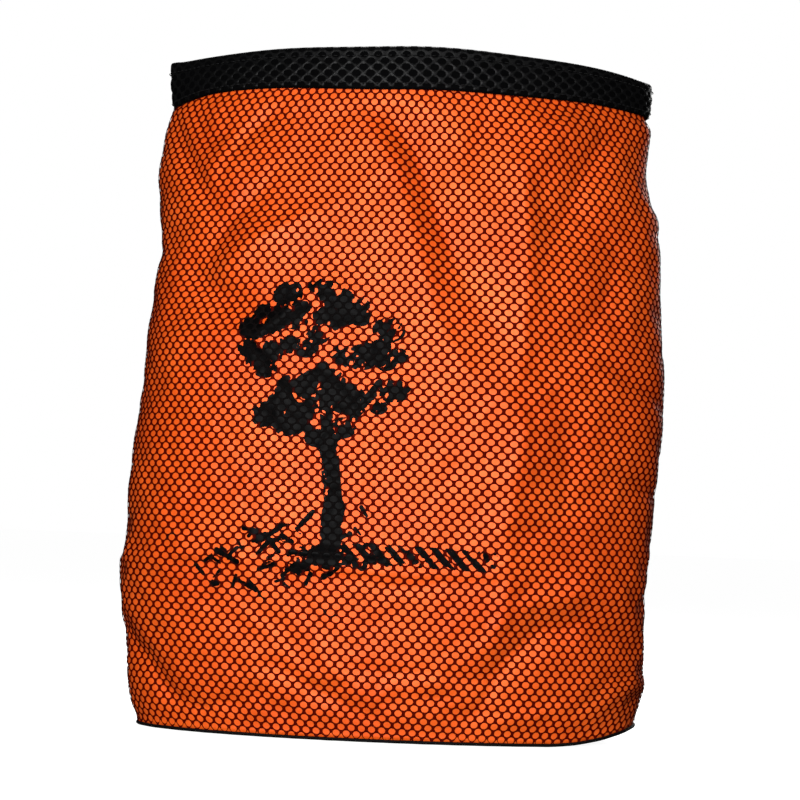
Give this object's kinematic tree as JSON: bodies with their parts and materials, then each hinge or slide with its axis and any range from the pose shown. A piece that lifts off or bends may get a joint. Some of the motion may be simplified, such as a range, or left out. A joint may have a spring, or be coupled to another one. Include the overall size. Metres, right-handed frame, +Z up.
{
  "type": "rope storage bag",
  "caption": "Open oval rope bag: bright nylon lining under a black hexagonal net, hooped black collar, stiffened base, webbing loops inside.",
  "frame": {"origin": "centre of the base's underside, on the surface the bag stands on", "axes": "+Z up through the mouth, -Y towards the printed front panel, +X to the front panel's right"},
  "size_m": [0.3094, 0.1382, 0.38],
  "materials": {
    "lining_cloth": "satin nylon, lightly wrinkled",
    "net": "knitted polyester net",
    "collar_cloth": "woven, slight sheen",
    "base_cloth": "coated woven cloth",
    "black_trim": "twisted cord",
    "black_tape": "grosgrain tape",
    "webbing": "flat woven webbing",
    "thread": "polyester thread",
    "print_ink": "screen-print ink",
    "stiffener_board": "moulded sheet",
    "spring_wire": "drawn wire"
  },
  "bodies": {
    "bag": {"base_panel": "base_cloth", "base_stiffener": "stiffener_board", "base_lining": "lining_cloth", "base_piping": "black_trim", "base_binding": "black_tape", "lining_front": "lining_cloth", "lining_back": "lining_cloth", "mesh_front": "net", "mesh_back": "net", "side_tape_left": "black_tape", "side_tape_right": "black_tape", "front_print": "print_ink", "tail_loop_tab": "webbing", "tail_bartack": "thread"},
    "rim": {"rim_hoop": "spring_wire", "hoop_ferrule": "spring_wire", "collar_band": "collar_cloth", "collar_mesh": "net", "collar_thread_upper": "thread", "collar_thread_lower": "thread", "head_loop_tab": "webbing", "head_bartack": "thread"},
    "tail_loop": {"tail_loop": "webbing"},
    "head_loop": {"head_loop": "webbing"}
  },
  "joints": [
    {"name": "rim_drop", "type": "slide", "parent": "bag", "child": "rim", "axis": [0, 0, -1], "range_m": [0, 0.25], "deforming": ["lining_front", "lining_back", "mesh_front", "mesh_back", "front_print", "side_tape_left", "side_tape_right"]},
    {"name": "tail_loop_flop", "type": "hinge", "parent": "bag", "child": "tail_loop", "pos_m": [0, 0.012, 0.013], "axis": [-1, 0, 0], "range_deg": [0, 100]},
    {"name": "head_loop_flop", "type": "hinge", "parent": "rim", "child": "head_loop", "pos_m": [0, 0.042, 0.3485], "axis": [-1, 0, 0], "range_deg": [0, 150]}
  ]
}
